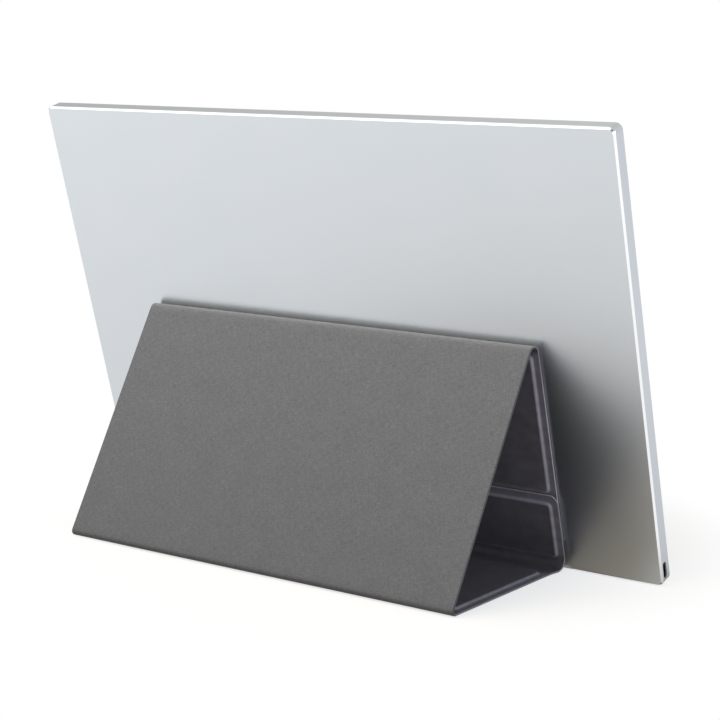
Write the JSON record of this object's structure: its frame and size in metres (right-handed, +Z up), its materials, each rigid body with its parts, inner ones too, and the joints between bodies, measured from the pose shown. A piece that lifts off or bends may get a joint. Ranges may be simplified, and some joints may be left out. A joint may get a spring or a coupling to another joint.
{
  "type": "portable monitor with folding cover",
  "caption": "Slim flat portable display, leaning back on its magnetic fabric cover folded into a triangular stand.",
  "frame": {"origin": "on the floor, below the middle of the whole footprint", "axes": "+X to the right of someone facing the screen, -Y the way the screen looks, +Z up"},
  "size_m": [0.3605, 0.1158, 0.2336],
  "materials": {
    "shell_aluminium": "fine-blasted and anodised silver, with a bright cut bevel",
    "foot_rubber": "matt grey moulded",
    "frame_plastic": "fine-grained black",
    "adhesive": "dull dark grey",
    "screen_film": "anti-glare, near-black",
    "cell_glass": "clear, ground edges",
    "clear_film": "milky translucent",
    "guide_acrylic": "polished clear",
    "reflector_film": "white",
    "tray_metal": "plain rolled sheet",
    "led_strip": "white strip with pale yellow lights",
    "cushion_foam": "dense black foam",
    "circuit_board": "green solder mask",
    "ribbon_film": "amber film over copper",
    "socket_plastic": "black moulded",
    "screw_steel": "zinc plated",
    "chip_resin": "black moulded resin",
    "can_metal": "tinned sheet",
    "port_metal": "nickel plated, deep drawn",
    "key_aluminium": "fine-blasted and anodised silver",
    "magnet_nickel": "nickel plated",
    "cover_fabric": "fine woven mid-grey cloth, heat bonded",
    "cover_stiffener": "pressed fibre-glass board",
    "cover_lining": "matt charcoal artificial leather with a faint violet cast"
  },
  "bodies": {
    "monitor": {"rear_shell": "shell_aluminium", "foot_strip": "foot_rubber", "front_frame": "frame_plastic", "frame_glue": "adhesive", "cell_tape": "adhesive", "front_polariser": "screen_film", "glass_cell": "cell_glass", "optical_films": "clear_film", "light_guide": "guide_acrylic", "reflector_sheet": "reflector_film", "backlight_tray": "tray_metal", "led_bar": "led_strip", "panel_cushions": "cushion_foam", "driver_board": "circuit_board", "driver_ribbons": "ribbon_film", "display_sockets": "socket_plastic", "display_cable": "ribbon_film", "main_board": "circuit_board", "board_screws": "screw_steel", "scaler_chip": "chip_resin", "shield_can": "can_metal", "power_parts": "chip_resin", "left_port_shell": "port_metal", "left_port_tongue": "socket_plastic", "right_port_shell": "port_metal", "right_port_tongue": "socket_plastic", "key_board": "circuit_board", "key_switches": "can_metal", "key_ribbon": "ribbon_film", "shell_magnets": "magnet_nickel", "mount_panel_skin": "cover_fabric", "mount_panel_board": "cover_stiffener", "mount_panel_lining": "cover_lining", "mount_panel_magnets": "magnet_nickel"},
    "back_panel": {"back_panel_skin": "cover_fabric", "back_panel_board": "cover_stiffener", "back_panel_lining": "cover_lining", "top_fold_web": "cover_fabric"},
    "base_panel": {"base_panel_skin": "cover_fabric", "base_panel_board": "cover_stiffener", "base_panel_lining": "cover_lining", "rear_fold_web": "cover_fabric"},
    "flap": {"flap_skin": "cover_fabric", "flap_board": "cover_stiffener", "flap_lining": "cover_lining", "flap_magnets": "magnet_nickel", "front_fold_web": "cover_fabric"},
    "brightness_up": {"brightness_up_key": "key_aluminium"},
    "brightness_down": {"brightness_down_key": "key_aluminium"}
  },
  "joints": [
    {"name": "top_fold", "type": "hinge", "parent": "monitor", "child": "back_panel", "pos_m": [0.0006, -0.01202, 0.12111], "axis": [1, 0, 0], "range_deg": [0, 134.31], "deforming": ["top_fold_web"]},
    {"name": "rear_fold", "type": "hinge", "parent": "back_panel", "child": "base_panel", "pos_m": [0.0006, 0.05708, 0.00154], "axis": [1, 0, 0], "range_deg": [0, 119.69], "deforming": ["rear_fold_web"]},
    {"name": "front_fold", "type": "hinge", "parent": "base_panel", "child": "flap", "pos_m": [0.0006, -0.04473, 0.00269], "axis": [1, 0, 0], "range_deg": [0, 106.2], "deforming": ["front_fold_web"]},
    {"name": "brightness_up_press", "type": "slide", "parent": "monitor", "child": "brightness_up", "axis": [-1, 0, 0], "range_m": [0, 0.0004], "stiffness_N_per_m": 1000},
    {"name": "brightness_down_press", "type": "slide", "parent": "monitor", "child": "brightness_down", "axis": [-1, 0, 0], "range_m": [0, 0.0004], "stiffness_N_per_m": 1000}
  ],
  "couplings": [
    {"joint": "rear_fold", "follows": "top_fold", "ratio": 0.89046},
    {"joint": "front_fold", "follows": "top_fold", "ratio": 0.78999}
  ]
}
